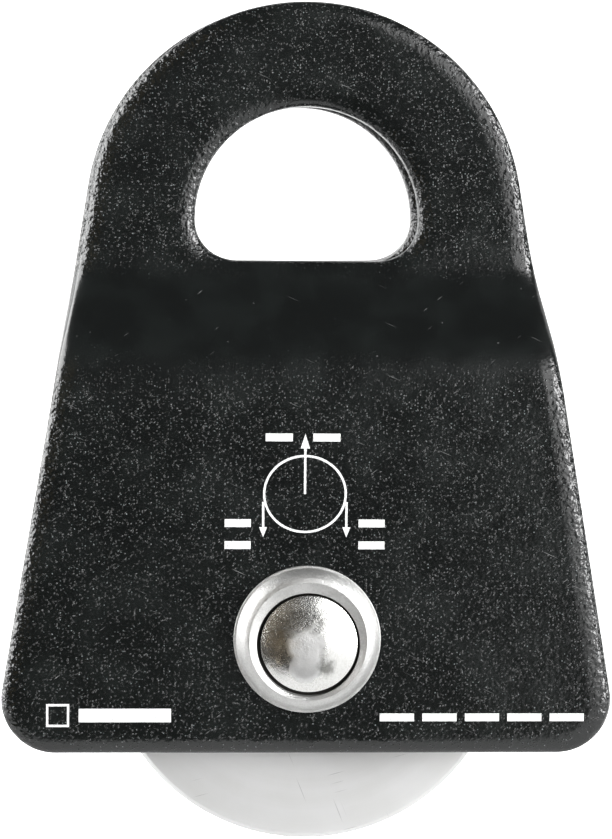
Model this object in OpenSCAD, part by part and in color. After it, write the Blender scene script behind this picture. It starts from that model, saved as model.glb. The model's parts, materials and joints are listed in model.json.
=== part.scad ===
// Single sheave block with swinging side plates, for 11 mm rope.
// Millimetres, +Z up. The origin is the centre of the eye, midway between the two side plates.
// The axle runs along Y, and the front of the block faces -Y.

/* [Side plates] */
// Thickness of each side plate
plate_t = 3; // [2.5:0.1:3.4]
// Distance from the eye's centre down to the axle
eye_to_axle = 40.5; // [39:0.1:45]
// Radius of the plate's round top, which shares its centre with the eye
arch_r = 21.1; // [19:0.1:24]
// Lean of each side edge away from vertical, in degrees
side_lean = 9.5; // [8:0.1:11]
// Half width of the plate just below the step
waist_half = 24.75; // [24.2:0.05:26]
// Distance from the axle down to the plate's bottom edge
axle_to_bottom = 10.75; // [9.5:0.05:14]
// Radius of the two bottom corners
corner_r = 5.2; // [3:0.1:8]
// Gap between the two plates round the sheave
jaw_gap = 14; // [13.8:0.1:15]
// Gap between the two plates at the eye
eye_gap = 0.3; // [0.2:0.05:0.8]
// Height above the axle at which the step towards the middle starts
step_low = 22.2; // [21.8:0.1:24]
// Height above the axle at which the step ends
step_high = 39.2; // [36:0.1:40]
// How round the step is: 1 is two bends that meet, and less leaves a straight slope between them
step_round = 0.94; // [0.4:0.01:0.98]
// How far the rear plate is swung away from the front one, in degrees
rear_swing = 0.65; // [0:0.05:3]

/* [Eye] */
// Radius of the eye's round top
eye_r = 10.9; // [9.5:0.1:12]
// Depth of the eye below its centre
eye_drop = 4.2; // [4.2:0.1:5]
// Radius of the eye's two bottom corners
eye_corner_r = 4.1; // [3:0.1:4.1]

/* [Sheave] */
// Outer radius of the sheave
sheave_r = 19.5; // [18.5:0.1:20.5]
// Width of the sheave
sheave_w = 12.8; // [12.6:0.1:12.9]
// Radius of the rope groove
groove_r = 5.5; // [5:0.1:5.7]
// Bevel on the two rims
rim_bevel = 0.4; // [0.1:0.05:0.5]

/* [Axle] */
// Radius of the axle's shank
shank_r = 3.98; // [3.9:0.01:3.99]
// Radius of the domed heads
head_r = 4.62; // [4.4:0.02:4.8]
// Height of the dome above the head's straight edge
dome_h = 1; // [0.5:0.1:1.5]
// Outer radius of the flanged bushes' rings
flange_r = 7.05; // [6.8:0.05:7.6]
// Height of the rings above the plates
flange_h = 1.45; // [1.2:0.05:1.8]
// How far the front ring sits off the axle's centre, sideways
ring_off_x = -0.14; // [-0.4:0.02:0.4]
// How far the front ring sits off the axle's centre, upwards
ring_off_z = 0.36; // [-0.4:0.02:0.4]

/* [Bearing] */
// Outer radius of the ball bearing
bearing_r = 9.5; // [9.4:0.05:9.6]
// Width of the ball bearing
bearing_w = 6; // [5.9:0.1:6.1]
// Diameter of each ball
ball_d = 3.17; // [3.1:0.01:3.2]
// Number of balls
balls = 8; // [6:1:9]

/* [Printing] */
// Thickness of the printed ink
ink_t = 0.04; // [0.03:0.01:0.1]
// Width of the printed lines
ink_line = 0.22; // [0.2:0.01:0.5]
// Height of the printed circle's centre above the axle
diagram_up = 14.25; // [13:0.05:15]
// How far the printed circle sits off the middle, sideways
diagram_x = -0.45; // [-1:0.05:1]
// Half width of the printed circle, which is a little wider than it is high
circle_rx = 3.9; // [3.5:0.05:4.2]
// Half height of the printed circle
circle_rz = 3.63; // [3.4:0.01:4]
// Distance of the lower printed rows below the axle
row_down = 7.2; // [6.5:0.1:7.6]

/* [Hidden] */
$fn = 96;

// Clearances
run = 0.05;    // between a plate and what it swings on
slip = 0.02;   // between pieces that are clamped together on the shank
over = 1;      // how far a cutting shape runs past what it cuts
join = 0.01;   // how far two halves of a cutting shape overlap

// Side plates, worked out for the rear one at +Y: the front one is its mirror image
jaw_in = jaw_gap / 2;
jaw_out = jaw_in + plate_t;
lip_in = eye_gap / 2;
lip_out = lip_in + plate_t;
top_z = arch_r;
bottom_z = -eye_to_axle - axle_to_bottom;
low_z = step_low - eye_to_axle;
high_z = step_high - eye_to_axle;

// The step is two equal bends and a straight slope between them
step_y = jaw_in - lip_in;
step_z = high_z - low_z;
bend_r = step_round * (step_y * step_y + step_z * step_z) / (4 * step_y);
slope_len = sqrt(pow(step_y - 2 * bend_r, 2) + step_z * step_z - 4 * bend_r * bend_r);
bend_angle = atan2(2 * bend_r, slope_len) + atan2(step_y - 2 * bend_r, step_z);
low_bend = [(jaw_in + jaw_out) / 2 - bend_r, low_z];
high_bend = [(lip_in + lip_out) / 2 + bend_r, high_z];
inside_r = bend_r - plate_t / 2;
outside_r = bend_r + plate_t / 2;
bend_steps = 12;

// Side edge of the outline: half width at a height, above and below the step
function half_above(z) = (arch_r - z * sin(side_lean)) / cos(side_lean);
function half_below(z) = waist_half + (low_z - z) * tan(side_lean);
corner_z = bottom_z + corner_r;
corner_x = half_below(corner_z) - corner_r / cos(side_lean);

// Points of an arc about a centre c
function arc(c, r, from, to, steps) =
  [for (i = [0:steps]) let (a = from + (to - from) * i / steps) c + r * [cos(a), sin(a)]];
function mirrored(points) = [for (p = points) [-p[0], p[1]]];
function reversed(points) = [for (i = [len(points) - 1:-1:0]) points[i]];

// Bearing and stack on the shank
bore_r = shank_r + slip;
race_in_r = 5.8;
race_out_r = 7.75;
pitch_r = (bearing_r + bore_r) / 2;
ball_gap = 0.045;
track_r = ball_d / 2 + ball_gap;
seal_seat_r = 8.3;
seal_in = 2.3;
seal_t = 0.32;
cage_half = 0.65;
cage_back = 2.05;
cage_front = -1;
cage_gap = 0.12;
pocket_r = ball_d / 2 + cage_gap;
seat_half = bearing_w / 2;
shoulder_r = 8.6;
snap_t = 1;
snap_depth = 0.5;
snap_r = bearing_r + snap_depth;
snap_groove_r = snap_r + run;
snap_in_r = 8.4;
snap_gap = 3.2;
sleeve_r = 5.5;
sleeve_end = jaw_in - run;
spacer_r = 5.5;
washer_r = 10.2;
washer_t = 0.4;
washer_mid = (jaw_in + sheave_w / 2) / 2;
tread_r = sheave_r - groove_r;

// Flange ring, heights above the plate's outer face
floor_h = 0.6;
pocket_head_r = head_r + 0.3;
lip_h = 0.42;
lip_w = 0.22;
crown_r = 5.65;
crown_inner_drop = 0.3;
crown_bulge = 0.3;
crown_steps = 6;
head_edge_h = 0.5;

// Printing, measured from the printed circle's centre
oval_sides = 72;
pull_neck = 4.35;
pull_tip = 5.75;
pull_head = 0.45;
rope_x = 3.98;
rope_tail = -0.77;
rope_neck = -3.17;
rope_tip = -4.15;
rope_head = 0.38;
bar_h = 0.75;
pull_bar_near = 1.2;
pull_bar_far = 3.8;
pull_bar_shift = 0.45;
pull_bar_z = 5.4;
rope_bar_x = 6.4;
rope_bar_half = 1.25;
rope_bar_rows = [-2.8, -4.9];

// Printing, measured from the lower rows' height
mark_x = -25;
mark_z = 0.2;
mark_w = 2.2;
mark_bar_from = -21.9;
mark_bar_to = -13.1;
mark_bar_h = 1.3;
words = 5;
word_x = 6.9;
word_pitch = 4.1;
word_gap = 0.8;

module at_axle() {
  translate([0, 0, -eye_to_axle]) children();
}

// Turns a profile of [radius, y] points round the axle's axis
module turned() {
  rotate([-90, 0, 0]) rotate_extrude() children();
}

// A disc or ring on the axle's axis from y0 to y1
module ring(outer, inner, y0, y1) {
  turned() translate([inner, y0]) square([outer - inner, y1 - y0]);
}

// Flat shapes drawn as [x, z], made solid from y0 to y1
module thick(y0, y1) {
  rotate([90, 0, 0]) translate([0, 0, -y1]) linear_extrude(y1 - y0) children();
}

// The plate's outline, as a block that the bent sheet is cut from
module outline_block() {
  side = [
    [arch_r * cos(side_lean), arch_r * sin(side_lean)],
    [half_above(high_z), high_z],
    [waist_half, low_z],
    [corner_x + corner_r * cos(side_lean), corner_z + corner_r * sin(side_lean)],
    [corner_x, bottom_z]
  ];
  thick(0, jaw_out + over) polygon(concat(side, mirrored(reversed(side))));
  thick(0, jaw_out + over) circle(r = arch_r);
  for (x = [-corner_x, corner_x])
    thick(0, jaw_out + over) translate([x, corner_z]) circle(r = corner_r);
}

// Round top, straight bottom and two round corners, as a block to cut away
module eye_block() {
  corner_at = eye_r - eye_corner_r;
  y0 = -over;
  y1 = jaw_out + over;
  intersection() {
    thick(y0, y1) circle(r = eye_r);
    thick(y0, y1) translate([-eye_r - over, -join]) square([2 * (eye_r + over), eye_r + over]);
  }
  thick(y0, y1) translate([-eye_r, eye_corner_r - eye_drop])
    square([2 * eye_r, eye_drop - eye_corner_r + join]);
  thick(y0, y1) translate([-corner_at, -eye_drop]) square([2 * corner_at, eye_drop]);
  for (x = [-corner_at, corner_at])
    thick(y0, y1) translate([x, eye_corner_r - eye_drop]) circle(r = eye_corner_r);
}

// The bent sheet seen from the side, as [y, z] points
module bent_sheet() {
  polygon(concat(
    [[jaw_out, bottom_z - over]],
    arc(low_bend, outside_r, 0, bend_angle, bend_steps),
    arc(high_bend, inside_r, 180 + bend_angle, 180, bend_steps),
    [[lip_out, top_z + over], [lip_in, top_z + over]],
    arc(high_bend, outside_r, 180, 180 + bend_angle, bend_steps),
    arc(low_bend, inside_r, bend_angle, 0, bend_steps),
    [[jaw_in, bottom_z - over]]
  ));
}

module side_plate() {
  difference() {
    intersection() {
      outline_block();
      rotate([90, 0, 90]) linear_extrude(4 * arch_r, center = true) bent_sheet();
    }
    eye_block();
    at_axle() ring(sleeve_r + run, 0, jaw_in - over, jaw_out + over);
  }
}

module front_side_plate() {
  color("#17191a") mirror([0, 1, 0]) side_plate();
}

module rear_side_plate() {
  color("#17191a") at_axle() rotate([0, -rear_swing, 0]) translate([0, 0, eye_to_axle]) side_plate();
}

module sheave() {
  half = sheave_w / 2;
  color("#d9dad8") at_axle() turned() difference() {
    polygon([
      [shoulder_r, half], [sheave_r - rim_bevel, half], [sheave_r, half - rim_bevel],
      [sheave_r, -half + rim_bevel], [sheave_r - rim_bevel, -half], [bearing_r, -half],
      [bearing_r, -seat_half - snap_t], [snap_groove_r, -seat_half - snap_t],
      [snap_groove_r, -seat_half], [bearing_r, -seat_half], [bearing_r, seat_half],
      [shoulder_r, seat_half]
    ]);
    translate([tread_r + groove_r, 0]) circle(r = groove_r);
  }
}

// Open ring in the sheave's groove, which keeps the bearing in
module bearing_snap_ring() {
  color("#55585a") at_axle() difference() {
    ring(snap_r, snap_in_r, -seat_half - snap_t, -seat_half);
    translate([-snap_gap / 2, -seat_half - snap_t - over, -snap_r - over])
      cube([snap_gap, snap_t + 2 * over, snap_r - snap_in_r + 2 * over]);
  }
}

module bearing_outer_race() {
  color("#b4b7b9") at_axle() difference() {
    ring(bearing_r, race_out_r, -seat_half, seat_half);
    turned() translate([pitch_r, 0]) circle(r = track_r);
    for (side = [-1, 1]) ring(seal_seat_r, race_out_r - over,
      side > 0 ? seal_in : -seat_half - over, side > 0 ? seat_half + over : -seal_in);
  }
}

module bearing_inner_race() {
  color("#b4b7b9") at_axle() difference() {
    ring(race_in_r, bore_r, -seat_half, seat_half);
    turned() translate([pitch_r, 0]) circle(r = track_r);
  }
}

module bearing_balls() {
  color("#c8cbcd") at_axle() for (i = [0:balls - 1])
    rotate([0, 360 * i / balls, 0]) translate([0, 0, pitch_r]) sphere(d = ball_d);
}

// Moulded crown cage, open to the front, with a round pocket for each ball
module bearing_cage() {
  color("#8d7f5c") at_axle() difference() {
    ring(pitch_r + cage_half, pitch_r - cage_half, cage_front, cage_back);
    for (i = [0:balls - 1])
      rotate([0, 360 * i / balls, 0]) translate([0, 0, pitch_r]) sphere(r = pocket_r);
  }
}

module bearing_seal(side) {
  y0 = side > 0 ? seal_in : -seal_in - seal_t;
  color("#222222") at_axle() ring(seal_seat_r - slip, race_in_r + run, y0, y0 + seal_t);
}

module front_bearing_seal() {
  bearing_seal(-1);
}

module rear_bearing_seal() {
  bearing_seal(1);
}

module hub_spacer(side) {
  y0 = side > 0 ? seat_half : -sleeve_end;
  color("#9a9da0") at_axle() ring(spacer_r, bore_r, y0, y0 + sleeve_end - seat_half);
}

module front_hub_spacer() {
  hub_spacer(-1);
}

module rear_hub_spacer() {
  hub_spacer(1);
}

module thrust_washer(side) {
  y0 = side * washer_mid - washer_t / 2;
  color("#e6e2d6") at_axle() ring(washer_r, spacer_r + slip, y0, y0 + washer_t);
}

module front_thrust_washer() {
  thrust_washer(-1);
}

module rear_thrust_washer() {
  thrust_washer(1);
}

// Share of the crown's width and height at a step: a straight cone with a little of a round mixed in
function crown_out(t) = (1 - t) * (1 - crown_bulge) + cos(90 * t) * crown_bulge;
function crown_up(t) = t * (1 - crown_bulge) + sin(90 * t) * crown_bulge;

// Ring that stands on the plate, as [radius, height above the plate] points
module ring_profile() {
  crown_w = flange_r - lip_w - crown_r;
  polygon(concat(
    [[0, run], [flange_r, run], [flange_r, lip_h], [flange_r - lip_w, lip_h]],
    [for (i = [0:crown_steps])
      [crown_r + crown_w * crown_out(i / crown_steps),
       lip_h + (flange_h - lip_h) * crown_up(i / crown_steps)]],
    [[pocket_head_r, flange_h - crown_inner_drop], [0, flange_h - crown_inner_drop]]
  ));
}

// Sleeve that the plate swings on, with a ring outside and a pocket for the axle's head
module flange_bush(off_x, off_z) {
  at_axle() difference() {
    union() {
      ring(sleeve_r, bore_r, sleeve_end, jaw_out + run);
      translate([off_x, 0, off_z]) turned() translate([0, jaw_out]) ring_profile();
    }
    ring(pocket_head_r, 0, jaw_out + floor_h, jaw_out + flange_h + over);
    ring(bore_r, 0, sleeve_end - over, jaw_out + floor_h + over);
  }
}

module front_flange_bush() {
  color("#c9cac8") mirror([0, 1, 0]) flange_bush(ring_off_x, ring_off_z);
}

module rear_flange_bush() {
  color("#c9cac8") flange_bush(0, 0);
}

// Shank with a domed head formed on each end
module axle_rivet() {
  head_y = jaw_out + floor_h;
  dome_y = head_y + head_edge_h;
  ball_r = (head_r * head_r + dome_h * dome_h) / (2 * dome_h);
  color("#dadbd9") at_axle() {
    ring(shank_r, 0, -head_y, head_y);
    for (side = [0, 1]) mirror([0, side, 0]) {
      ring(head_r, 0, head_y, dome_y);
      intersection() {
        translate([0, dome_y + dome_h - ball_r, 0]) sphere(r = ball_r);
        ring(head_r, 0, dome_y, dome_y + dome_h + over);
      }
    }
  }
}

// Ink on the front plate's face, drawn as [x, height above the axle]
module ink() {
  color("#f2f2f0") at_axle() translate([0, -jaw_out, 0]) rotate([90, 0, 0])
    linear_extrude(ink_t) children();
}

module arrow(x, tail, neck, tip, head_half) {
  polygon([
    [x - ink_line / 2, tail], [x + ink_line / 2, tail], [x + ink_line / 2, neck],
    [x + head_half, neck], [x, tip], [x - head_half, neck], [x - ink_line / 2, neck]
  ]);
}

module oval(rx, rz) {
  polygon([for (i = [0:oval_sides - 1]) let (a = 360 * i / oval_sides) [rx * cos(a), rz * sin(a)]]);
}

// A circle for the sheave, one force up and one rope force down on each side
module load_diagram_print() {
  half = ink_line / 2;
  ink() translate([diagram_x, diagram_up]) {
    difference() {
      oval(circle_rx + half, circle_rz + half);
      oval(circle_rx - half, circle_rz - half);
    }
    arrow(0, 0, pull_neck, pull_tip, pull_head);
    for (side = [-1, 1]) arrow(side * rope_x, rope_tail, rope_neck, rope_tip, rope_head);
  }
}

module bar(x0, x1, z, height) {
  translate([x0, z - height / 2]) square([x1 - x0, height]);
}

// Plain bars beside the arrows, in place of lettering
module load_bars_print() {
  ink() translate([diagram_x, diagram_up]) {
    bar(-pull_bar_far, -pull_bar_near, pull_bar_z, bar_h);
    bar(pull_bar_near - pull_bar_shift, pull_bar_far - pull_bar_shift, pull_bar_z, bar_h);
    for (side = [-1, 1]) for (z = rope_bar_rows)
      translate([side * rope_bar_x, 0]) bar(-rope_bar_half, rope_bar_half, z, bar_h);
  }
}

// Plain square and bars near the bottom edge, in place of a mark and lettering
module lower_bars_print() {
  ink() translate([0, -row_down]) {
    difference() {
      bar(mark_x, mark_x + mark_w, mark_z, mark_w);
      bar(mark_x + ink_line, mark_x + mark_w - ink_line, mark_z, mark_w - 2 * ink_line);
    }
    bar(mark_bar_from, mark_bar_to, mark_z, mark_bar_h);
    for (i = [0:words - 1])
      bar(word_x + i * word_pitch, word_x + (i + 1) * word_pitch - word_gap, 0, bar_h);
  }
}

front_side_plate();
rear_side_plate();
sheave();
bearing_snap_ring();
bearing_outer_race();
front_bearing_seal();
rear_bearing_seal();
bearing_balls();
bearing_cage();
bearing_inner_race();
front_hub_spacer();
rear_hub_spacer();
front_thrust_washer();
rear_thrust_washer();
front_flange_bush();
rear_flange_bush();
axle_rivet();
load_diagram_print();
load_bars_print();
lower_bars_print();
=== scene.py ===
"""Looks for the single sheave block: coated side plates, turned steel, printed ink, a soft white studio."""

import json
import math

import bmesh
import bpy
from mathutils import Matrix, Vector


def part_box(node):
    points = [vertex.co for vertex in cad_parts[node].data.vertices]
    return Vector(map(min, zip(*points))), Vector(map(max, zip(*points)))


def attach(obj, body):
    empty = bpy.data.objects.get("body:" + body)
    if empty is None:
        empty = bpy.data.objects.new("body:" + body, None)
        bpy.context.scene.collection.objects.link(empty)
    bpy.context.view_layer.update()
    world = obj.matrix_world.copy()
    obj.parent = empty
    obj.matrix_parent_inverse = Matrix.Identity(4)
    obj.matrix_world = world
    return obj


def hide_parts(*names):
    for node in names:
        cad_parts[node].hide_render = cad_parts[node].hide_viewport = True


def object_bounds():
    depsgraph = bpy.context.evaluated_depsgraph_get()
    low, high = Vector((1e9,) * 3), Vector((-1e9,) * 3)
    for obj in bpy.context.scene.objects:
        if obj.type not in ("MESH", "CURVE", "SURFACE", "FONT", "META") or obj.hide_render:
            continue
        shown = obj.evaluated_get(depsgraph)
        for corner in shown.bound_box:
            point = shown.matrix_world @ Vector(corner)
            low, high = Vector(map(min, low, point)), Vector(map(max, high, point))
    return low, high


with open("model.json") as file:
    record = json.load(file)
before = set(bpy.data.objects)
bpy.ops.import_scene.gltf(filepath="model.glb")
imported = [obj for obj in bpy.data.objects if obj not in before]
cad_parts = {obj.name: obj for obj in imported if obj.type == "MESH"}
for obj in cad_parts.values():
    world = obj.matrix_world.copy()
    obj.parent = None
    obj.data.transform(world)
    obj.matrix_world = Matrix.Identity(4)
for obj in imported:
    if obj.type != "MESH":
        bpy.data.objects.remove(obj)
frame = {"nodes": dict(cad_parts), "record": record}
cad_low, cad_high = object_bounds()

MM = 0.001
SAME = 1e-7  # points closer than this, in metres, are one point

# ---------------------------------------------------------------- sizes from the frame
plate_low, plate_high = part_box("front_side_plate")
rivet_low, rivet_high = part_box("axle_rivet")
sheave_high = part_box("sheave")[1]
bush_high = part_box("rear_flange_bush")[1]

AXLE_Z = (rivet_low.z + rivet_high.z) / 2
JAW_OUT = -plate_low.y
LIP_IN = -plate_high.y
ARCH_R = plate_high.z
BOTTOM_Z = plate_low.z
HALF_WIDTH = plate_high.x
DOME_Y = rivet_high.y
RING_Y = bush_high.y
RING_R = bush_high.x
SHEAVE_R = sheave_high.x
SHEAVE_HALF = sheave_high.y

# ---------------------------------------------------------------- sizes the frame doesn't give
PLATE_T = 3.0 * MM
STEP_LOW = AXLE_Z + 22.2 * MM  # the plate steps in between these two heights
STEP_HIGH = AXLE_Z + 39.2 * MM
STEP_ROUND = 0.94  # at 1 the step's two bends meet; less leaves a straight slope between them
SIDE_LEAN = math.radians(9.5)
CORNER_R = 5.2 * MM
EDGE_IN = 2.2 * MM  # how far the rounded edge reaches in from the outline
EDGE_DROP = 1.0 * MM  # and how far down through the sheet
EYE_R = 10.9 * MM
EYE_DROP = 4.2 * MM  # from the centre of its round top down to its flat bottom
EYE_CORNER_R = 4.1 * MM
EYE_EDGE_IN = 2.2 * MM
BORE_R = 5.55 * MM
BORE_EDGE = 0.1 * MM
BAND_TOP = -5.0 * MM  # the coating has next to no bumps between these two heights
BAND_LOW = -10.5 * MM
REAR_SWING = math.radians(-0.65)  # the rear plate hangs a little to one side

HEAD_R = 4.62 * MM
HEAD_FLOOR = 0.6 * MM  # from the plate's face out to the underside of the rivet's head
HEAD_EDGE = 0.5 * MM  # height of the head's straight edge, under its dome
SHANK_R = 3.98 * MM
POCKET_R = HEAD_R + 0.3 * MM
SLEEVE_R = 5.5 * MM
SLEEVE_BORE_R = SHANK_R + 0.02 * MM
SLEEVE_END = 6.95 * MM  # from the middle of the block
RING_OFF = Vector((-0.14, 0, 0.36)) * MM  # the front ring and its pocket sit a little off the axle
POCKET_OFF = Vector((-0.07, 0, -0.08)) * MM
GROOVE_R = 5.5 * MM
CROWN_BULGE = 0.3  # at 0 the flange ring's crown is a cone and at 1 it is round

# Spots on the rivet's heads: places across and up from the axle, radii and depths.
FLAT_AT = Vector((-0.35, -0.1)) * MM
FLAT_R = 2.1 * MM
FLAT_DEPTH = 0.06 * MM
DIMPLE_AT = Vector((-0.34, -2.15)) * MM
DIMPLE_R = 1.4 * MM
DIMPLE_DEPTH = 0.05 * MM
SMUDGE_AT = Vector((1.6, -2.2)) * MM
COARSE_AT = Vector((-2.6, 2.2)) * MM
DARK_ARC_R = 2.75 * MM
STAIN_AT = Vector((-2.8, -0.5)) * MM


# ---------------------------------------------------------------- camera
CAMERA_AZIMUTH = -3.5
CAMERA_ELEVATION = 3.0
CAMERA_ROLL = math.radians(0.46)
CAMERA_DISTANCE = 315.8 * MM
CAMERA_TARGET = Vector((0.2, 0, -19.66)) * MM
LENS_MM = 137.7


def direction(azimuth, elevation):
    """Unit vector from the block; azimuth 0 is straight in front and 90 at the picture's right."""
    a, e = math.radians(azimuth), math.radians(elevation)
    return Vector((math.sin(a) * math.cos(e), -math.cos(a) * math.cos(e), math.sin(e)))


def make_camera():
    """The camera, a little left of straight in front of the block and a little above it."""
    data = bpy.data.cameras.new("camera")
    data.lens = LENS_MM
    data.clip_start = 0.01
    data.clip_end = 50
    camera = bpy.data.objects.new("camera", data)
    bpy.context.scene.collection.objects.link(camera)
    back = direction(CAMERA_AZIMUTH, CAMERA_ELEVATION)
    camera.location = CAMERA_TARGET + back * CAMERA_DISTANCE
    turn = (-back).to_track_quat("-Z", "Y").to_matrix().to_4x4()
    roll = turn @ Matrix.Rotation(CAMERA_ROLL, 4, "Z")
    camera.rotation_mode = "QUATERNION"
    camera.rotation_quaternion = roll.to_quaternion()
    bpy.context.scene.camera = camera


# ---------------------------------------------------------------- material helpers
def new_material(name):
    """A new material with its node tree and its Principled shader."""
    material = bpy.data.materials.new(name)
    material.use_nodes = True
    tree = material.node_tree
    return material, tree, tree.nodes["Principled BSDF"]


def node(tree, kind, settings=None, **inputs):
    """Adds a node; an input, by name or as i0 or i1 by number, gets a value or a socket."""
    made = tree.nodes.new("ShaderNode" + kind)
    for key, value in (settings or {}).items():
        setattr(made, key, value)
    for key, value in inputs.items():
        socket = made.inputs[int(key[1:])] if key[0] == "i" and key[1:].isdigit() else made.inputs[key]
        if isinstance(value, bpy.types.NodeSocket):
            tree.links.new(value, socket)
        else:
            socket.default_value = value
    return made


def place(tree):
    """The piece's own coordinates, in metres."""
    return node(tree, "TexCoord").outputs["Object"]


def noise(tree, where, size, detail=2.0, rough=0.5):
    """Noise from 0 to 1 whose lumps are about size metres wide."""
    made = node(tree, "TexNoise", Vector=where, Scale=1 / size, Detail=detail, Roughness=rough)
    return made.outputs[0]


def cells(tree, where, size=1.0):
    """A node that gives the nearest of scattered points, about size metres apart."""
    return node(tree, "TexVoronoi", {"feature": "F1"}, Vector=where, Scale=1 / size)


def calc(tree, operation, a, b=0.0, c=0.0):
    """The result of a Math node."""
    made = node(tree, "Math", {"operation": operation}, i0=a, i1=b, i2=c)
    return made.outputs[0]


def spread(tree, value, low, high, out_low=0.0, out_high=1.0):
    """Maps low..high of value to out_low..out_high, smoothly and within the ends."""
    made = node(tree, "MapRange", {"interpolation_type": "SMOOTHSTEP"}, Value=value)
    made.inputs["From Min"].default_value = low
    made.inputs["From Max"].default_value = high
    made.inputs["To Min"].default_value = out_low
    made.inputs["To Max"].default_value = out_high
    return made.outputs["Result"]


def blend_colors(tree, factor, a, b):
    """A colour that is a where factor is 0 and b where it is 1."""
    made = node(tree, "Mix", {"data_type": "RGBA"})
    for socket, value in ((made.inputs[0], factor), (made.inputs[6], a), (made.inputs[7], b)):
        if isinstance(value, bpy.types.NodeSocket):
            tree.links.new(value, socket)
        else:
            socket.default_value = value
    return made.outputs[2]


def gray(value, tint=(1, 1, 1)):
    """A gray, or a slightly tinted one, with its alpha."""
    return (value * tint[0], value * tint[1], value * tint[2], 1)


def bump(tree, height, depth, after=None):
    """Turns a height from 0 to 1 into a bump that is depth metres deep, on top of another one."""
    made = node(tree, "Bump", Height=height, Distance=depth, Strength=1.0)
    if after is not None:
        tree.links.new(after, made.inputs["Normal"])
    return made.outputs[0]


def radius_from_axle(tree, where):
    """Distance from the axle's axis, in metres."""
    parts = node(tree, "SeparateXYZ", Vector=where)
    up = calc(tree, "SUBTRACT", parts.outputs["Z"], AXLE_Z)
    across = parts.outputs["X"]
    return calc(tree, "SQRT", calc(tree, "ADD", calc(tree, "MULTIPLY", up, up),
                                   calc(tree, "MULTIPLY", across, across)))


def lathe_lines(tree, where, size, detail=3.0):
    """Fine rings round the axle, as a turning tool leaves them."""
    radius = radius_from_axle(tree, where)
    made = node(tree, "TexNoise", {"noise_dimensions": "1D"}, W=radius, Scale=1 / size, Detail=detail)
    return made.outputs[0]


# ---------------------------------------------------------------- materials
def stray_bumps(tree, where, size, share, radius):
    """Scattered round bumps of random height; share is the part of the cells that has one."""
    made = cells(tree, where, size)
    pick = node(tree, "SeparateXYZ", Vector=made.outputs["Color"]).outputs["X"]
    height = spread(tree, pick, 1 - share, 1.0)
    return calc(tree, "MULTIPLY", height, spread(tree, made.outputs["Distance"], radius, 0.0))


def stray_scratches(tree, where, angle, length, width, share):
    """A few thin marks across the front, all at much the same angle."""
    along = node(tree, "Mapping", {"vector_type": "TEXTURE"}, Vector=where)
    along.inputs["Rotation"].default_value = (0, math.radians(angle), 0)
    along.inputs["Scale"].default_value = (length, 8 * width, width)
    made = cells(tree, along.outputs[0])
    pick = node(tree, "SeparateXYZ", Vector=made.outputs["Color"]).outputs["X"]
    chosen = calc(tree, "GREATER_THAN", pick, 1 - share)
    return calc(tree, "MULTIPLY", chosen, spread(tree, made.outputs["Distance"], 0.5, 0.15))


def total(tree, *values):
    """Adds any number of values."""
    result = values[0]
    for value in values[1:]:
        result = calc(tree, "ADD", result, value)
    return result


def plate_coat():
    """Black coating: a smooth dark ground with sparse crisp bumps and pale painted glints, next to none of
    them over the step.
    """
    material, tree, shader = new_material("plate_coat")
    where = place(tree)
    wander = noise(tree, where, 6 * MM, 2)
    height = node(tree, "SeparateXYZ", Vector=where).outputs["Z"]
    height = calc(tree, "ADD", height, calc(tree, "MULTIPLY", wander, 3 * MM))
    above = spread(tree, height, BAND_TOP, BAND_TOP + 3.8 * MM)
    below = spread(tree, height, BAND_LOW, BAND_LOW - 6.0 * MM)
    coated = total(tree, above, below, 0.06)

    patches = noise(tree, where, 4 * MM, 3)
    facing = node(tree, "SeparateXYZ", Vector=node(tree, "TexCoord").outputs["Normal"])
    rim = spread(tree, calc(tree, "ABSOLUTE", facing.outputs["X"]), 0.05, 0.4)
    ground = noise(tree, where, 0.5 * MM, 1.2, 0.5)
    ground = calc(tree, "MULTIPLY", ground, calc(tree, "ADD", calc(tree, "MULTIPLY", rim, 2.6), 0.5))
    bumps = stray_bumps(tree, where, 0.27 * MM, 0.5, 0.42)
    crinkles = calc(tree, "MULTIPLY", spread(tree, noise(tree, where, 0.28 * MM, 2, 0.6), 0.6, 0.76), 0.6)
    texture = calc(tree, "MULTIPLY", total(tree, ground, bumps, crinkles), coated)
    coat_bump = bump(tree, texture, 0.06 * MM)
    tree.links.new(coat_bump, shader.inputs["Normal"])

    mottle = spread(tree, patches, 0.35, 0.7, 0.0025, 0.005)
    base = node(tree, "CombineColor", Red=mottle, Green=calc(tree, "MULTIPLY", mottle, 1.35),
                Blue=calc(tree, "MULTIPLY", mottle, 1.25)).outputs[0]
    # painted glints: pale cool flecks in the colour that stand in for sparkles of light off the coat's
    # bumps
    painted_glint = calc(tree, "MULTIPLY", stray_bumps(tree, where, 0.26 * MM, 0.2, 0.34), coated)
    color = blend_colors(tree, calc(tree, "MULTIPLY", painted_glint, 0.9), base, gray(0.3, (0.92, 1.03, 1.03)))
    specks = stray_bumps(tree, where, 1.3 * MM, 0.3, 0.1)
    marks = total(tree, specks, stray_scratches(tree, where, 24, 1.9 * MM, 0.09 * MM, 0.003),
                  stray_scratches(tree, where, -38, 0.9 * MM, 0.1 * MM, 0.003))
    worn = calc(tree, "MULTIPLY", marks, spread(tree, patches, 0.42, 0.6, 0.15, 0.7))
    tree.links.new(blend_colors(tree, worn, color, gray(0.22)), shader.inputs["Base Color"])
    tree.links.new(spread(tree, patches, 0.3, 0.75, 0.17, 0.24), shader.inputs["Roughness"])
    shader.inputs["IOR"].default_value = 1.62
    return material


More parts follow.
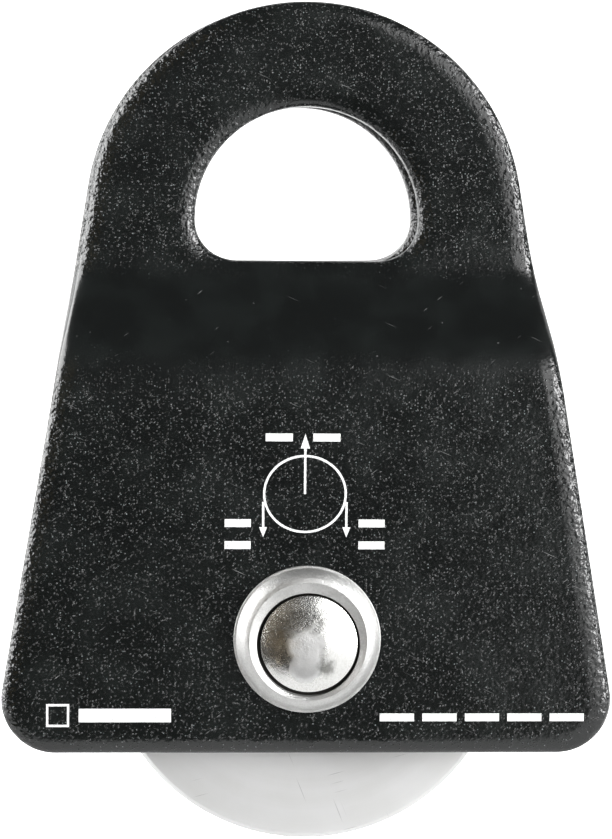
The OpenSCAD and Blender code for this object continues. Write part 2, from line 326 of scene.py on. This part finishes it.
def painted_gap_shade(tree, where, color):
    """Painted shade: darkens a colour in the gap round the axle's heads, where the recess falls into shade.
    """
    radius = radius_from_axle(tree, where)
    inside = spread(tree, radius, HEAD_R - 0.06 * MM, HEAD_R)
    outside = spread(tree, radius, POCKET_R + 0.1 * MM, POCKET_R + 0.03 * MM)
    out = calc(tree, "ABSOLUTE", node(tree, "SeparateXYZ", Vector=where).outputs["Y"])
    deep = spread(tree, out, JAW_OUT + 1.12 * MM, JAW_OUT + 0.98 * MM)
    gap_shaded = calc(tree, "MULTIPLY", calc(tree, "MULTIPLY", inside, outside), deep)
    # painted shade: a near-black colour where the gap would lie in shade
    return blend_colors(tree, gap_shaded, color, gray(0.03, (1, 0.97, 0.9)))


def satin_steel(name, color, roughness, grain_mm, grain_depth_mm, line_mm, line_depth_mm):
    """Turned steel: fine rings from the lathe under a satin grain."""
    material, tree, shader = new_material(name)
    where = place(tree)
    patches = noise(tree, where, 2.5 * MM, 3)
    grain = noise(tree, where, grain_mm * MM, 3, 0.6)
    lines = lathe_lines(tree, where, line_mm * MM)
    first = bump(tree, lines, line_depth_mm * MM)
    second = bump(tree, grain, grain_depth_mm * MM, first)
    tree.links.new(second, shader.inputs["Normal"])
    shade = spread(tree, calc(tree, "MULTIPLY", calc(tree, "ADD", patches, grain), 0.5), 0.36, 0.64)
    dark = tuple(c * 0.78 for c in color) + (1,)
    # painted shade darkens the gap round the heads
    metal = painted_gap_shade(tree, where, blend_colors(tree, shade, dark, tuple(color) + (1,)))
    tree.links.new(metal, shader.inputs["Base Color"])
    rough = spread(tree, grain, 0.3, 0.75, roughness * 0.85, roughness * 1.2)
    tree.links.new(rough, shader.inputs["Roughness"])
    shader.inputs["Metallic"].default_value = 1.0
    return material


def sheave_metal():
    """Turned aluminium: rings a fraction of a millimetre apart and a few stray scratches."""
    material, tree, shader = new_material("sheave_metal")
    where = place(tree)
    lines = lathe_lines(tree, where, 0.16 * MM, 4)
    broad = lathe_lines(tree, where, 1.1 * MM, 2)
    patches = noise(tree, where, 5 * MM, 3)
    scratch = noise(tree, where, 0.1 * MM, 2)
    first = bump(tree, lines, 0.006 * MM)
    second = bump(tree, scratch, 0.003 * MM, first)
    tree.links.new(second, shader.inputs["Normal"])
    tone = calc(tree, "ADD", calc(tree, "MULTIPLY", broad, 0.25), calc(tree, "MULTIPLY", patches, 0.75))
    color = blend_colors(tree, spread(tree, tone, 0.3, 0.7), gray(0.67, (1, 1, 0.99)), gray(0.71))
    marks = total(tree, stray_scratches(tree, where, 68, 3.2 * MM, 0.09 * MM, 0.014),
                  stray_scratches(tree, where, -15, 2.2 * MM, 0.08 * MM, 0.008))
    color = blend_colors(tree, calc(tree, "MULTIPLY", marks, 0.7), color, gray(0.36))
    tree.links.new(color, shader.inputs["Base Color"])
    tree.links.new(spread(tree, lines, 0.25, 0.75, 0.41, 0.49), shader.inputs["Roughness"])
    shader.inputs["Metallic"].default_value = 0.55
    return material


def from_spot(tree, where, centre):
    """How far a point of the rivet's heads is from a spot: sideways, upward and straight."""
    parts = node(tree, "SeparateXYZ", Vector=where)
    across = calc(tree, "SUBTRACT", parts.outputs["X"], centre.x)
    up = calc(tree, "SUBTRACT", parts.outputs["Z"], AXLE_Z + centre.y)
    square = calc(tree, "ADD", calc(tree, "MULTIPLY", across, across), calc(tree, "MULTIPLY", up, up))
    return across, up, calc(tree, "SQRT", square)


def uneven(tree, distance, wobble, amount):
    """A distance that a noise makes longer and shorter, so that what it draws has a rough edge."""
    shift = calc(tree, "MULTIPLY", calc(tree, "SUBTRACT", wobble, 0.5), amount)
    return calc(tree, "ADD", distance, shift)


def blot(tree, where, centre, radius, edge, wobble):
    """A round patch on the rivet's heads, 1 inside and 0 outside, with an uneven edge."""
    away = from_spot(tree, where, centre)[2]
    return spread(tree, uneven(tree, away, wobble, edge * 1.6), radius + edge, radius)


def hammered(tree, where, wobble):
    """The shield-shaped flat in the middle of the heads: pointed above, narrower below."""
    parts = node(tree, "SeparateXYZ", Vector=where)
    across = calc(tree, "ABSOLUTE", calc(tree, "SUBTRACT", parts.outputs["X"], FLAT_AT.x))
    up = calc(tree, "SUBTRACT", parts.outputs["Z"], AXLE_Z)
    top, half_width, low_width = 1.1 * MM, 1.45 * MM, 2.3 * MM
    roof_line = calc(tree, "ADD", up, calc(tree, "MULTIPLY", across, 0.45))
    taper_line = calc(tree, "SUBTRACT", across, calc(tree, "MULTIPLY", up, 1.2))
    roof = calc(tree, "SUBTRACT", roof_line, top)
    sides = calc(tree, "SUBTRACT", across, half_width)
    taper = calc(tree, "SUBTRACT", taper_line, low_width)
    outside = calc(tree, "MAXIMUM", roof, calc(tree, "MAXIMUM", sides, taper))
    rough_edge = calc(tree, "ADD", outside, calc(tree, "MULTIPLY", wobble, 0.3 * MM))
    return spread(tree, rough_edge, 0.75 * MM, -0.1 * MM)


def dark_arc(tree, where, wobble):
    """A dark arc round the upper left of the flat."""
    across, up, away = from_spot(tree, where, FLAT_AT)
    off_arc = calc(tree, "ABSOLUTE", calc(tree, "SUBTRACT", away, DARK_ARC_R))
    arc_band = spread(tree, uneven(tree, off_arc, wobble, 2.4 * MM), 1.5 * MM, 0.1 * MM)
    upper_left = calc(tree, "SUBTRACT", up, calc(tree, "MULTIPLY", across, 0.9))
    return calc(tree, "MULTIPLY", arc_band, spread(tree, upper_left, -1.2 * MM, 1.6 * MM))


def polished_steel():
    """Polished heads with a hammered flat and dimple in the middle and coarser grain at the upper left."""
    material, tree, shader = new_material("rivet_steel")
    where = place(tree)
    wobble = noise(tree, where, 0.7 * MM, 3)
    pits = noise(tree, where, 0.12 * MM, 4, 0.65)
    grains = noise(tree, where, 0.14 * MM, 3, 0.6)
    swell = noise(tree, where, 1.3 * MM, 2)
    flat = hammered(tree, where, wobble)
    dimple = blot(tree, where, DIMPLE_AT, DIMPLE_R, 0.3 * MM, wobble)
    struck = calc(tree, "MAXIMUM", flat, dimple)
    coarse = blot(tree, where, COARSE_AT, 2.0 * MM, 2.4 * MM, wobble)
    arc_darkening = calc(tree, "MULTIPLY", dark_arc(tree, where, wobble), spread(tree, grains, 0.38, 0.6, 0.3, 1.0))
    stain = blot(tree, where, STAIN_AT, 0.5 * MM, 1.8 * MM, wobble)
    smudge = blot(tree, where, SMUDGE_AT, 0.2 * MM, 1.0 * MM, wobble)
    haze = blot(tree, where, FLAT_AT, 1.0 * MM, 1.9 * MM, wobble)

    first = bump(tree, swell, 0.03 * MM)
    grainy = calc(tree, "MULTIPLY", grains, calc(tree, "ADD", coarse, 0.2))
    second = bump(tree, grainy, 0.034 * MM, first)
    tree.links.new(bump(tree, pits, 0.006 * MM, second), shader.inputs["Normal"])
    pitted = spread(tree, pits, 0.3, 0.6)
    color = blend_colors(tree, pitted, gray(0.66, (1, 0.99, 0.95)), gray(0.82, (1, 1, 0.98)))
    # a dark arc in the heads' colour round the upper left of the flat
    color = blend_colors(tree, calc(tree, "MULTIPLY", arc_darkening, 0.8), color, gray(0.14, (1, 1, 0.93)))
    color = blend_colors(tree, calc(tree, "MULTIPLY", stain, 0.75), color, gray(0.42, (1.15, 0.98, 0.72)))
    color = blend_colors(tree, calc(tree, "MULTIPLY", struck, 0.6), color, gray(0.8))
    color = blend_colors(tree, calc(tree, "MULTIPLY", smudge, 0.75), color, gray(0.12, (1, 1, 0.9)))
    # painted shade darkens the gap round the heads
    tree.links.new(painted_gap_shade(tree, where, color), shader.inputs["Base Color"])
    polish = spread(tree, swell, 0.3, 0.7, 0.15, 0.25)
    dull = total(tree, polish, calc(tree, "MULTIPLY", haze, 0.14), calc(tree, "MULTIPLY", struck, 0.14))
    tree.links.new(dull, shader.inputs["Roughness"])
    shader.inputs["Metallic"].default_value = 1.0
    return material


def print_ink():
    """White ink, a little thin over the bumps of the coating."""
    material, tree, shader = new_material("print_ink")
    where = place(tree)
    thin = noise(tree, where, 0.14 * MM, 3, 0.6)
    color = blend_colors(tree, spread(tree, thin, 0.28, 0.5), gray(0.55), gray(0.93))
    tree.links.new(color, shader.inputs["Base Color"])
    tree.links.new(bump(tree, thin, 0.01 * MM), shader.inputs["Normal"])
    tree.links.new(spread(tree, thin, 0.3, 0.7, 0.5, 0.62), shader.inputs["Roughness"])
    return material


def plain_plastic(name, color, roughness, grain_mm):
    """Moulded plastic or rubber: slight mottling and a fine matt grain."""
    material, tree, shader = new_material(name)
    where = place(tree)
    grain = noise(tree, where, grain_mm * MM, 3)
    patches = noise(tree, where, 2 * MM, 2)
    dark = tuple(c * 0.8 for c in color) + (1,)
    tree.links.new(blend_colors(tree, patches, dark, tuple(color) + (1,)), shader.inputs["Base Color"])
    tree.links.new(bump(tree, grain, 0.01 * MM), shader.inputs["Normal"])
    rough = spread(tree, grain, 0.3, 0.7, roughness * 0.9, roughness * 1.15)
    tree.links.new(rough, shader.inputs["Roughness"])
    return material


def make_materials():
    """The finish for each of the record's material slots."""
    return {
        "plate_coat": plate_coat(),
        "sheave_metal": sheave_metal(),
        "spring_steel": satin_steel("spring_steel", (0.30, 0.31, 0.32), 0.35, 0.1, 0.002, 0.1, 0.002),
        "bearing_steel": satin_steel("bearing_steel", (0.66, 0.67, 0.68), 0.2, 0.05, 0.001, 0.08, 0.001),
        "ball_steel": satin_steel("ball_steel", (0.80, 0.80, 0.81), 0.06, 0.05, 0.0005, 0.3, 0.0003),
        "seal_rubber": plain_plastic("seal_rubber", (0.030, 0.030, 0.032), 0.6, 0.1),
        "cage_nylon": plain_plastic("cage_nylon", (0.42, 0.36, 0.24), 0.5, 0.15),
        "spacer_steel": satin_steel("spacer_steel", (0.58, 0.59, 0.60), 0.3, 0.08, 0.002, 0.12, 0.003),
        "washer_plastic": plain_plastic("washer_plastic", (0.86, 0.84, 0.78), 0.35, 0.2),
        "bush_steel": satin_steel("bush_steel", (0.66, 0.66, 0.65), 0.45, 0.16, 0.05, 0.12, 0.002),
        "rivet_steel": polished_steel(),
        "print_ink": print_ink(),
    }


# ---------------------------------------------------------------- mesh helpers
def make_piece(name, mesh, material, slot, body, *replaced):
    """Puts a detailed piece on its body, in the place of CAD nodes."""
    piece = bpy.data.objects.new(name, mesh)
    bpy.context.scene.collection.objects.link(piece)
    mesh.materials.append(material)
    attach(piece, body)
    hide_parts(*replaced)
    return piece


def arc(centre, radius, start, end, step=math.radians(2.5)):
    """Points of an arc with their outward directions, as [(point, normal)]."""
    count = max(2, int(abs(end - start) / step) + 1)
    made = []
    for i in range(count + 1):
        angle = start + (end - start) * i / count
        normal = Vector((math.cos(angle), math.sin(angle)))
        made.append((Vector(centre) + normal * radius, normal))
    return made


def straight(a, b, normal, step=1.2 * MM):
    """Points inside a straight stretch, ends left out."""
    count = max(1, int((b - a).length / step))
    return [(a + (b - a) * i / count, normal) for i in range(1, count)]


# ---------------------------------------------------------------- side plates
# The sheet is drawn flat as (x, height through the sheet, distance up the sheet) and then bent.
LIP_MID = LIP_IN + PLATE_T / 2
JAW_MID = JAW_OUT - PLATE_T / 2
STEP_Y = JAW_MID - LIP_MID
STEP_Z = STEP_HIGH - STEP_LOW
BEND_R = STEP_ROUND * (STEP_Y ** 2 + STEP_Z ** 2) / (4 * STEP_Y)
SLOPE_LEN = math.sqrt((STEP_Y - 2 * BEND_R) ** 2 + STEP_Z ** 2 - 4 * BEND_R ** 2)
BEND_ANGLE = math.atan2(2 * BEND_R, SLOPE_LEN) + math.atan2(STEP_Y - 2 * BEND_R, STEP_Z)
BEND_LEN = BEND_R * BEND_ANGLE
STEP_LEN = 2 * BEND_LEN + SLOPE_LEN


def bent(along):
    """Middle of the sheet at a distance up the flat sheet: how far out, how high, and its tilt."""
    down = STEP_HIGH - along
    if down <= 0:
        return LIP_MID, along, 0.0
    if down >= STEP_LEN:
        return JAW_MID, STEP_LOW - (down - STEP_LEN), 0.0
    if down < BEND_LEN:
        tilt = down / BEND_R
        return LIP_MID + BEND_R * (1 - math.cos(tilt)), STEP_HIGH - BEND_R * math.sin(tilt), tilt
    if down > STEP_LEN - BEND_LEN:
        tilt = (STEP_LEN - down) / BEND_R
        return JAW_MID - BEND_R * (1 - math.cos(tilt)), STEP_LOW + BEND_R * math.sin(tilt), tilt
    past = down - BEND_LEN
    out = LIP_MID + BEND_R * (1 - math.cos(BEND_ANGLE)) + past * math.sin(BEND_ANGLE)
    high = STEP_HIGH - BEND_R * math.sin(BEND_ANGLE) - past * math.cos(BEND_ANGLE)
    return out, high, BEND_ANGLE


def plate_outline():
    """The flat sheet's outer edge, anticlockwise, starting at the right end of the round top."""
    bottom = BOTTOM_Z - (STEP_LEN - STEP_Z)
    right = Vector((math.cos(SIDE_LEAN), math.sin(SIDE_LEAN)))
    left = Vector((-right.x, right.y))
    corner_z = bottom + CORNER_R
    corner_x = HALF_WIDTH - CORNER_R
    low_right = Vector((corner_x, corner_z))
    low_left = Vector((-corner_x, corner_z))
    edge = arc((0, 0), ARCH_R, SIDE_LEAN, math.pi - SIDE_LEAN)
    edge += straight(left * ARCH_R, low_left + left * CORNER_R, left)
    edge += arc(low_left, CORNER_R, math.pi - SIDE_LEAN, 1.5 * math.pi)
    edge += straight(Vector((-corner_x, bottom)), Vector((corner_x, bottom)), Vector((0, -1)))
    edge += arc(low_right, CORNER_R, 1.5 * math.pi, 2 * math.pi + SIDE_LEAN)
    edge += straight(low_right + right * CORNER_R, right * ARCH_R, right)
    return edge


def eye_outline():
    """The eye's edge, with directions that point into the hole."""
    corner_x = EYE_R - EYE_CORNER_R
    corner_z = EYE_CORNER_R - EYE_DROP
    edge = arc((0, 0), EYE_R, 0, math.pi)
    edge += arc((-corner_x, corner_z), EYE_CORNER_R, math.pi, 1.5 * math.pi, math.radians(5))
    edge += straight(Vector((-corner_x, -EYE_DROP)), Vector((corner_x, -EYE_DROP)), Vector((0, -1)))
    edge += arc((corner_x, corner_z), EYE_CORNER_R, 1.5 * math.pi, 2 * math.pi, math.radians(5))[:-1]
    return [(point, -normal) for point, normal in edge]


def bore_outline():
    """The bore's edge on the flat sheet, with directions that point into the hole."""
    along = AXLE_Z - (STEP_LEN - STEP_Z)
    edge = arc((0, along), BORE_R, 0, 2 * math.pi, math.radians(5))[:-1]
    return [(point, -normal) for point, normal in edge]


def rounded_rim(mesh, normals, edge, inset, drop, steps=9):
    """A rim whose faces roll over towards the edge; gives the loops that the two faces start from."""
    turns = [90 * i / steps for i in range(steps + 1)]
    section = [(math.radians(90 - t), PLATE_T / 2 - drop) for t in turns]
    section += [(math.radians(-t), drop - PLATE_T / 2) for t in turns]
    loops = []
    for turn, middle in section:
        outwards, upwards = math.cos(turn) / inset, math.sin(turn) / drop
        size = math.hypot(outwards, upwards)
        outwards, upwards = outwards / size, upwards / size
        loop = []
        for point, normal in edge:
            place_at = point - normal * inset * (1 - math.cos(turn))
            vert = mesh.verts.new((place_at.x, middle + drop * math.sin(turn), place_at.y))
            vert[normals] = Vector((normal.x * outwards, upwards, normal.y * outwards))
            loop.append(vert)
        loops.append(loop)
    for one, other in zip(loops, loops[1:]):
        for i in range(len(edge)):
            j = (i + 1) % len(edge)
            mesh.faces.new((one[i], one[j], other[j], other[i]))
    return loops[0], loops[-1]


def flat_sheet(mesh, normals):
    """The plate before it is bent: three rims, the two faces between them, and cuts for the bends."""
    rims = [
        rounded_rim(mesh, normals, plate_outline(), EDGE_IN, EDGE_DROP),
        rounded_rim(mesh, normals, eye_outline(), EYE_EDGE_IN, EDGE_DROP),
        rounded_rim(mesh, normals, bore_outline(), BORE_EDGE, BORE_EDGE, 2),
    ]
    for face in (0, 1):
        edges = []
        for rim in rims:
            loop = rim[face]
            edges += [mesh.edges.get((loop[i], loop[i - 1])) for i in range(len(loop))]
        bmesh.ops.triangle_fill(mesh, use_beauty=True, use_dissolve=False, edges=edges)
    rows = int(STEP_LEN / (0.4 * MM))
    for i in range(-1, rows + 2):
        height = STEP_HIGH - STEP_LEN * i / rows
        everything = mesh.verts[:] + mesh.edges[:] + mesh.faces[:]
        bmesh.ops.bisect_plane(mesh, geom=everything, plane_co=(0, 0, height), plane_no=(0, 0, 1),
                               dist=SAME)


def fold(mesh, normals, side):
    """Bends the flat sheet, swings the rear one about the axle, and gives each point's normal."""
    swing = REAR_SWING if side > 0 else 0.0
    cos_s, sin_s = math.cos(swing), math.sin(swing)
    shading = []
    for vert in mesh.verts:
        out, high, tilt = bent(vert.co.z)
        cos_t, sin_t = math.cos(tilt), math.sin(tilt)
        x, through = vert.co.x, vert.co.y
        y, z = side * (out + through * cos_t), high + through * sin_t - AXLE_Z
        vert.co = (x * cos_s + z * sin_s, y, -x * sin_s + z * cos_s + AXLE_Z)
        n = vert[normals]
        ny, nz = side * (n.y * cos_t - n.z * sin_t), n.y * sin_t + n.z * cos_t
        shading.append(Vector((n.x * cos_s + nz * sin_s, ny, -n.x * sin_s + nz * cos_s)).normalized())
    return shading


def side_plate_mesh(name, side):
    """Side -1 is the front plate and 1 the rear one."""
    mesh = bmesh.new()
    normals = mesh.verts.layers.float_vector.new("sheet_normal")
    flat_sheet(mesh, normals)
    shading = fold(mesh, normals, side)
    mesh.normal_update()
    bmesh.ops.recalc_face_normals(mesh, faces=mesh.faces[:])
    made = bpy.data.meshes.new(name)
    mesh.to_mesh(made)
    mesh.free()
    made.attributes.remove(made.attributes["sheet_normal"])
    made.polygons.foreach_set("use_smooth", [True] * len(made.polygons))
    made.normals_split_custom_set_from_vertices(shading)
    return made


# ---------------------------------------------------------------- turned pieces
def rounded(points, radius, steps=4):
    """Rounds the inner corners of an open profile of (radius, y) points, in metres."""
    made = [points[0]]
    for before, here, after in zip(points, points[1:], points[2:]):
        a, b = Vector(before) - Vector(here), Vector(after) - Vector(here)
        reach = min(radius, a.length * 0.45, b.length * 0.45)
        start, end = Vector(here) + a.normalized() * reach, Vector(here) + b.normalized() * reach
        for i in range(steps + 1):
            t = i / steps
            made.append(tuple(start * (1 - t) ** 2 + Vector(here) * 2 * t * (1 - t) + end * t ** 2))
    made.append(points[-1])
    return made


def turned_mesh(name, profile, sides=144, offset=None, dent=None):
    """Turns (radius, y) points round the axle: a closed loop, or a line with both ends on the axis.

    offset and dent then move the points.
    """
    mesh = bmesh.new()
    rings = []
    for radius, y in profile:
        if radius < SAME:
            rings.append([mesh.verts.new((0, y, AXLE_Z))])
            continue
        ring = []
        for i in range(sides):
            angle = 2 * math.pi * i / sides
            ring.append(mesh.verts.new((radius * math.cos(angle), y, AXLE_Z + radius * math.sin(angle))))
        rings.append(ring)
    closed = profile[0][0] >= SAME
    pairs = list(zip(rings, rings[1:])) + ([(rings[-1], rings[0])] if closed else [])
    for one, other in pairs:
        for i in range(sides):
            j = (i + 1) % sides
            corners = [one[i % len(one)], one[j % len(one)], other[j % len(other)], other[i % len(other)]]
            unique = list(dict.fromkeys(corners))
            if len(unique) > 2:
                mesh.faces.new(unique)
    for vert in mesh.verts:
        if offset:
            vert.co += offset(vert.co)
        if dent:
            vert.co.y += dent(vert.co)
    bmesh.ops.recalc_face_normals(mesh, faces=mesh.faces[:])
    made = bpy.data.meshes.new(name)
    mesh.to_mesh(made)
    mesh.free()
    made.polygons.foreach_set("use_smooth", [True] * len(made.polygons))
    made.set_sharp_from_angle(angle=math.radians(50))
    return made


def bush_profile(side):
    """Sleeve, flange ring with a lip and a round crown, and the pocket for the head."""
    face = JAW_OUT + 0.05 * MM
    top = RING_Y
    lip_top = JAW_OUT + 0.42 * MM
    lip_in = RING_R - 0.22 * MM
    crown_r = 5.65 * MM
    inner_top = top - 0.3 * MM
    crown = []
    for i in range(17):
        t = i / 16
        out = (1 - t) * (1 - CROWN_BULGE) + math.cos(math.pi / 2 * t) * CROWN_BULGE
        up = t * (1 - CROWN_BULGE) + math.sin(math.pi / 2 * t) * CROWN_BULGE
        crown.append((crown_r + (lip_in - crown_r) * out, lip_top + (top - lip_top) * up))
    points = [
        (SLEEVE_BORE_R, JAW_OUT + HEAD_FLOOR), (SLEEVE_BORE_R, SLEEVE_END), (SLEEVE_R, SLEEVE_END),
        (SLEEVE_R, JAW_OUT - 0.01 * MM), (SLEEVE_R, face), (RING_R, face), (RING_R, lip_top),
        (lip_in + 0.02 * MM, lip_top),
    ] + crown + [
        (POCKET_R, inner_top), (POCKET_R, JAW_OUT + HEAD_FLOOR),
    ]
    return [(r, side * y) for r, y in rounded(points, 0.09 * MM, 3)]


def ring_shift(side):
    """The front bush's flange ring and the wall of its pocket sit a little off the axle."""
    def shift(co):
        radius = math.hypot(co.x, co.z - AXLE_Z)
        if side > 0 or radius < POCKET_R - 0.2 * MM or abs(co.y) < JAW_OUT:
            return Vector((0, 0, 0))
        share = min(1.0, max(0.0, radius - POCKET_R - 0.02 * MM) / (1.0 * MM))
        return POCKET_OFF * (1 - share) + RING_OFF * share
    return shift


def rivet_profile():
    """Shank and two domed heads."""
    head_y = JAW_OUT + HEAD_FLOOR
    edge_y = head_y + HEAD_EDGE
    rise = DOME_Y - edge_y
    ball_r = (HEAD_R ** 2 + rise ** 2) / (2 * rise)
    dome = []
    count = 96
    for i in range(count + 1):
        radius = HEAD_R * (1 - i / count)
        dome.append((radius, edge_y + math.sqrt(ball_r ** 2 - radius ** 2) - (ball_r - rise)))
    rim = rounded([(HEAD_R, head_y)] + dome[:6], 0.12 * MM, 3)
    half = [(SHANK_R, 0), (SHANK_R, head_y)] + rim + dome[6:]
    return [(r, -y) for r, y in reversed(half[1:])] + half


def peened(co):
    """The small flat and the dimple that the riveting hammer leaves, as a move along the axle."""
    if abs(co.y) < JAW_OUT + HEAD_FLOOR + HEAD_EDGE:
        return 0.0
    at = Vector((co.x, co.z - AXLE_Z))
    flat = max(0.0, 1 - ((at - FLAT_AT).length / FLAT_R) ** 2)
    bowl = max(0.0, 1 - ((at - DIMPLE_AT).length / DIMPLE_R) ** 2)
    return -math.copysign(FLAT_DEPTH * flat * flat + DIMPLE_DEPTH * bowl * bowl, co.y)


def sheave_profile():
    """Rope groove between two bevelled rims, with a shoulder and a seat for the bearing."""
    half = SHEAVE_HALF
    bevel = 0.4 * MM
    seat_r = 9.5 * MM
    shoulder_r = 8.6 * MM
    seat_half = 3.0 * MM
    snap_half = 4.0 * MM
    snap_r = 10.05 * MM
    groove = []
    for i in range(41):
        angle = math.radians(90 - 180 * i / 40)
        groove.append((SHEAVE_R - GROOVE_R * math.cos(angle), GROOVE_R * math.sin(angle)))
    points = [
        (shoulder_r, half), (SHEAVE_R - bevel, half), (SHEAVE_R, half - bevel),
    ] + groove + [
        (SHEAVE_R, bevel - half), (SHEAVE_R - bevel, -half), (seat_r, -half),
        (seat_r, -snap_half), (snap_r, -snap_half), (snap_r, -seat_half),
        (seat_r, -seat_half), (seat_r, seat_half), (shoulder_r, seat_half),
    ]
    return rounded(points, 0.07 * MM, 2)


# ---------------------------------------------------------------- studio
FLOOR_Z = cad_low.z - 0.048  # under the lowest point of a plate that is swung half a turn


def area_light(name, azimuth, elevation, distance, size, size_y, strength):
    """A soft box aimed at the block; strength is its brightness, whatever its size."""
    data = bpy.data.lights.new(name, "AREA")
    data.shape = "RECTANGLE"
    data.size, data.size_y = size, size_y
    data.energy = strength * size * size_y * math.pi
    light = bpy.data.objects.new(name, data)
    bpy.context.scene.collection.objects.link(light)
    away = direction(azimuth, elevation)
    light.location = CAMERA_TARGET + away * distance
    light.rotation_mode = "QUATERNION"
    light.rotation_quaternion = (-away).to_track_quat("-Z", "Y")


def stage_piece(name, mesh, material):
    """Puts a studio piece, which isn't part of the block, into the scene."""
    mesh.materials.append(material)
    piece = bpy.data.objects.new(name, mesh)
    bpy.context.scene.collection.objects.link(piece)
    return piece


def flag(name, corners, color):
    """A dark card that only reflections see, as studios hang in front of polished metal."""
    sheet = bmesh.new()
    sheet.faces.new([sheet.verts.new(corner) for corner in corners])
    mesh = bpy.data.meshes.new(name)
    sheet.to_mesh(mesh)
    sheet.free()
    material, tree, shader = new_material(name)
    weave = noise(tree, place(tree), 0.03, 3)
    color_of = blend_colors(tree, weave, gray(0.01), tuple(color) + (1,))
    tree.links.new(color_of, shader.inputs["Base Color"])
    shader.inputs["Roughness"].default_value = 1.0
    card = stage_piece(name, mesh, material)
    card.visible_camera = False
    card.visible_diffuse = False
    card.visible_shadow = False


def make_lights():
    """A big box at the right, a bright strip beyond it, a box at the left and a dim room."""
    world = bpy.data.worlds.new("studio")
    bpy.context.scene.world = world
    world.use_nodes = True
    background = world.node_tree.nodes["Background"]
    background.inputs[0].default_value = (0.97, 0.98, 1.0, 1)
    background.inputs[1].default_value = 0.13
    area_light("right_box", 46, 10, 0.9, 0.95, 1.05, 2.8)
    area_light("right_strip", 62, 8, 0.85, 0.25, 0.9, 12.0)
    area_light("left_box", -94, 8, 0.9, 0.9, 1.3, 7.5)


def make_flags():
    """One card stands at the left of the camera and one lies on the floor in front of the block."""
    left = direction(-32, 8)
    turn = (-left).to_track_quat("Z", "Y").to_matrix()
    upright = [CAMERA_TARGET + left * 0.6 + turn @ Vector((x, y, 0))
               for x, y in ((-0.18, -0.37), (0.18, -0.37), (0.18, 0.37), (-0.18, 0.37))]
    flag("left_flag", upright, (0.22, 0.18, 0.12))
    low = FLOOR_Z + 0.002
    lying = [Vector((x, y, low))
             for x, y in ((-1.6, -0.1), (0.03, -0.1), (0.43, -1.6), (-1.6, -1.6))]
    flag("floor_flag", lying, (0.03, 0.03, 0.03))


def backdrop_paper():
    """White paper that glows behind the block, so that it burns out there, and has painted shade that makes
    it greyer in front.
    """
    material, tree, shader = new_material("backdrop_paper")
    paper = noise(tree, place(tree), 0.02, 3)
    behind = node(tree, "SeparateXYZ", Vector=place(tree)).outputs["Y"]
    pale = blend_colors(tree, paper, gray(0.9), gray(0.92))
    # painted shade: the paper's colour darkens towards the front
    shade = spread(tree, behind, 0.0, 0.13)
    tree.links.new(blend_colors(tree, shade, gray(0.6), pale), shader.inputs["Base Color"])
    shader.inputs["Roughness"].default_value = 0.9
    shader.inputs["Emission Color"].default_value = (1, 1, 1, 1)
    glow = spread(tree, behind, 0.0, 0.16, 0.15, 1.0)
    tree.links.new(glow, shader.inputs["Emission Strength"])
    return material


def make_backdrop():
    """Floor that curves up into a wall."""
    wall_y, curve_r, half, front, top = 1.5, 0.7, 4.4, -1.6, 4.0
    section = [(front, FLOOR_Z), (wall_y - curve_r, FLOOR_Z)]
    for i in range(1, 17):
        angle = math.radians(90 * i / 16)
        y = wall_y - curve_r + curve_r * math.sin(angle)
        section.append((y, FLOOR_Z + curve_r * (1 - math.cos(angle))))
    section.append((wall_y, top))

    sweep = bmesh.new()
    rows = [[sweep.verts.new((x, y, z)) for x in (-half, half)] for y, z in section]
    for one, other in zip(rows, rows[1:]):
        sweep.faces.new((one[0], one[1], other[1], other[0]))
    mesh = bpy.data.meshes.new("backdrop")
    sweep.to_mesh(mesh)
    sweep.free()
    mesh.polygons.foreach_set("use_smooth", [True] * len(mesh.polygons))
    stage_piece("backdrop", mesh, backdrop_paper())


def make_sky():
    """A pale sphere round the studio that only the camera sees: a plain background for every view."""
    ball = bmesh.new()
    bmesh.ops.create_uvsphere(ball, u_segments=48, v_segments=24, radius=4.0)
    mesh = bpy.data.meshes.new("sky")
    ball.to_mesh(mesh)
    ball.free()
    material, tree, shader = new_material("sky_paper")
    paper = noise(tree, place(tree), 0.5, 2)
    tree.links.new(blend_colors(tree, paper, gray(0.88), gray(0.9)), shader.inputs["Emission Color"])
    shader.inputs["Emission Strength"].default_value = 1.0
    shader.inputs["Base Color"].default_value = gray(0.0)
    shader.inputs["Specular IOR Level"].default_value = 0.0
    sky = stage_piece("sky", mesh, material)
    sky.visible_diffuse = False
    sky.visible_glossy = False
    sky.visible_transmission = False
    sky.visible_shadow = False


# ---------------------------------------------------------------- the block
def make_block():
    """Gives the CAD nodes their finish, and replaces four kinds of them with detailed pieces."""
    materials = make_materials()
    slots = {part["node"]: part["material_slot"] for part in frame["record"]["subparts"]}
    for name, obj in frame["nodes"].items():
        for holder in obj.material_slots:
            holder.material = materials[slots[name]]

    for side, name, body in ((-1, "front", "front_cheek"), (1, "rear", "rear_cheek")):
        mesh = side_plate_mesh(name + "_plate", side)
        make_piece(name + "_plate", mesh, materials["plate_coat"], "plate_coat", body,
                   name + "_side_plate")
        mesh = turned_mesh(name + "_bush", bush_profile(side), offset=ring_shift(side))
        make_piece(name + "_bush", mesh, materials["bush_steel"], "bush_steel", "axle_stack",
                   name + "_flange_bush")
    mesh = turned_mesh("rivet", rivet_profile(), sides=216, dent=peened)
    make_piece("rivet", mesh, materials["rivet_steel"], "rivet_steel", "axle_stack", "axle_rivet")
    mesh = turned_mesh("sheave_wheel", sheave_profile(), sides=240)
    make_piece("sheave_turned", mesh, materials["sheave_metal"], "sheave_metal", "sheave_wheel", "sheave")


make_camera()
make_lights()
make_flags()
make_backdrop()
make_sky()
make_block()
bpy.context.scene.view_settings.view_transform = "Standard"
